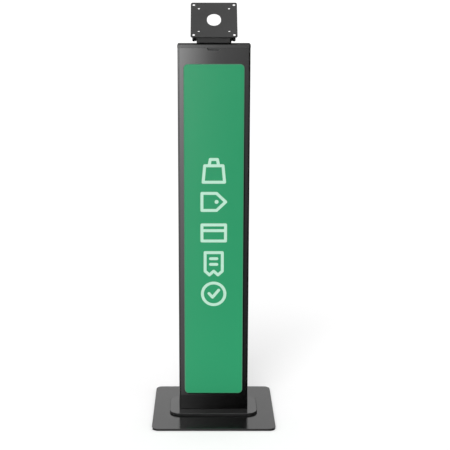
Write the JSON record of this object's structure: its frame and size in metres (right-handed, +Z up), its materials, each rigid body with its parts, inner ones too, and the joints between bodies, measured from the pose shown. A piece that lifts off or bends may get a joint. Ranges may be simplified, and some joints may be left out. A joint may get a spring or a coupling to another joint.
{
  "type": "customer display floor stand",
  "caption": "Free-standing kiosk column on a flat base, with a lift-off front cover, a green graphic panel and a tilting display plate.",
  "frame": {"origin": "bottom centre of the base, on the floor", "axes": "+Z up along the column, the front cover and graphic panel face -Y, +X to the viewer's right"},
  "size_m": [0.316, 0.298, 1.0639],
  "materials": {
    "black_coat": "satin black powder coat",
    "green_panel": "satin green acrylic with a paler bevel",
    "mint_marks": "pale mint printed ink",
    "zinc_steel": "zinc-plated steel",
    "black_screw": "black oxide",
    "magnet_block": "nickel-plated",
    "brass": "plain brass",
    "rubber": "matte black rubber",
    "foam_tape": "closed-cell foam tape",
    "clip_plastic": "moulded nylon"
  },
  "bodies": {
    "stand": {"base_plate": "black_coat", "floor_pads": "rubber", "base_screws": "zinc_steel", "foot_plate": "black_coat", "column_shell": "black_coat", "column_floor_plate": "black_coat", "floor_plate_screws": "zinc_steel", "cover_ledge": "zinc_steel", "column_top_plate": "black_coat", "pull_backplate": "black_coat", "top_cap": "black_coat", "cap_screws": "zinc_steel", "lower_brace": "zinc_steel", "middle_brace": "zinc_steel", "upper_brace": "zinc_steel", "brace_rivets": "zinc_steel", "cover_magnets": "magnet_block", "magnet_screws": "zinc_steel", "cable_clips": "clip_plastic", "rear_grommet": "rubber", "earth_stud": "brass", "earth_nut": "brass", "neck_bracket": "black_coat", "neck_screws": "zinc_steel", "neck_washers": "zinc_steel", "neck_nuts": "zinc_steel", "neck_grommet": "rubber"},
    "front_cover": {"cover_panel": "black_coat", "cover_stiffeners": "black_coat", "panel_tape": "foam_tape", "graphic_panel": "green_panel", "graphic_marks": "mint_marks"},
    "head": {"vesa_plate": "black_coat", "tilt_bracket": "black_coat", "pivot_washers": "black_screw", "pivot_screws": "black_screw", "spring_washers": "zinc_steel", "pivot_nuts": "zinc_steel"}
  },
  "joints": [
    {"name": "head_tilt", "type": "hinge", "parent": "stand", "child": "head", "pos_m": [0, 0, 0.9763], "axis": [1, 0, 0], "range_deg": [-45, 20]},
    {"name": "cover_tilt", "type": "hinge", "parent": "stand", "child": "front_cover", "pos_m": [0, -0.0305, 0.0133], "axis": [1, 0, 0], "range_deg": [0, 30]}
  ]
}
